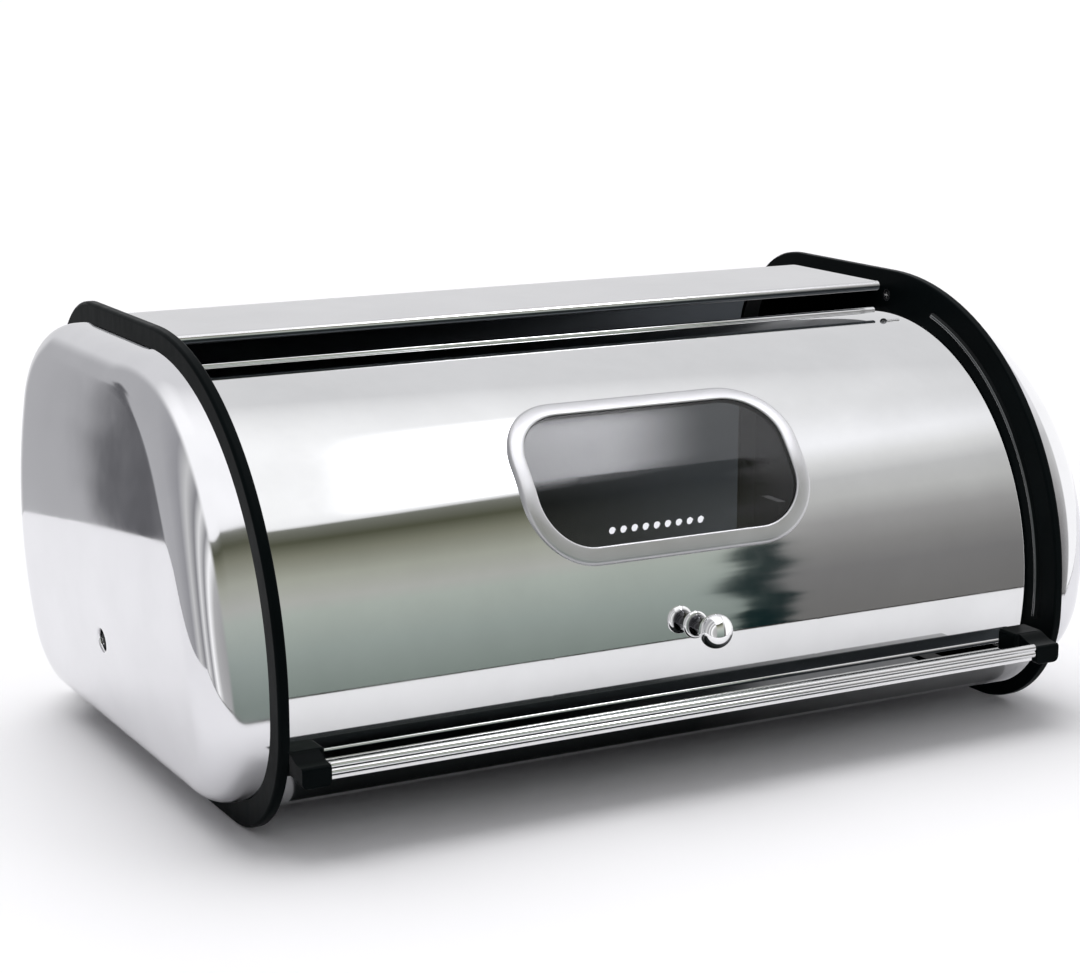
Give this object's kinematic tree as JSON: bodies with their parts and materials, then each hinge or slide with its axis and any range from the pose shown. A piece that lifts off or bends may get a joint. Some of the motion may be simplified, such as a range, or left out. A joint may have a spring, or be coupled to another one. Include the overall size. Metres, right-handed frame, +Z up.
{
  "type": "roll-top bread box",
  "caption": "Roll-top bread box with a curved mirror lid that rolls back, a rounded window, a turned knob, black end frames and domed end caps.",
  "frame": {"origin": "on the table, under the middle of the bounding box of the whole closed box with its knob", "axes": "+X to the box's right as seen from the front, +Y to the back, +Z up; the lid and knob face -Y"},
  "size_m": [0.425, 0.2656, 0.186],
  "materials": {
    "frame_plastic": "satin, moulded",
    "cap_chrome": "mirror polished",
    "fastener_steel": "bright zinc",
    "shell_steel": "polished",
    "washer_plastic": "natural",
    "lid_mirror": "mirror polished",
    "bezel_satin": "satin",
    "window_clear": "clear, smoke tinted"
  },
  "bodies": {
    "box": {"left_end_frame": "frame_plastic", "right_end_frame": "frame_plastic", "left_end_cap": "cap_chrome", "right_end_cap": "cap_chrome", "left_cap_screws": "fastener_steel", "right_cap_screws": "fastener_steel", "body_shell": "shell_steel", "left_shell_rivets": "fastener_steel", "right_shell_rivets": "fastener_steel", "front_rail": "shell_steel", "left_stop_block": "frame_plastic", "right_stop_block": "frame_plastic", "left_pivot_screw": "fastener_steel", "right_pivot_screw": "fastener_steel", "left_pivot_washer": "washer_plastic", "right_pivot_washer": "washer_plastic", "left_pivot_nut": "fastener_steel", "right_pivot_nut": "fastener_steel"},
    "lid": {"lid_panel": "lid_mirror", "left_lid_cheek": "frame_plastic", "right_lid_cheek": "frame_plastic", "window_bezel": "bezel_satin", "window_pane": "window_clear", "window_retainer": "frame_plastic", "knob": "cap_chrome", "knob_washer": "fastener_steel", "knob_screw": "fastener_steel"}
  },
  "joints": [
    {"name": "lid_roll", "type": "hinge", "parent": "box", "child": "lid", "pos_m": [0, 0.00984, 0.058], "axis": [-1, 0, 0], "range_deg": [0, 85]}
  ]
}
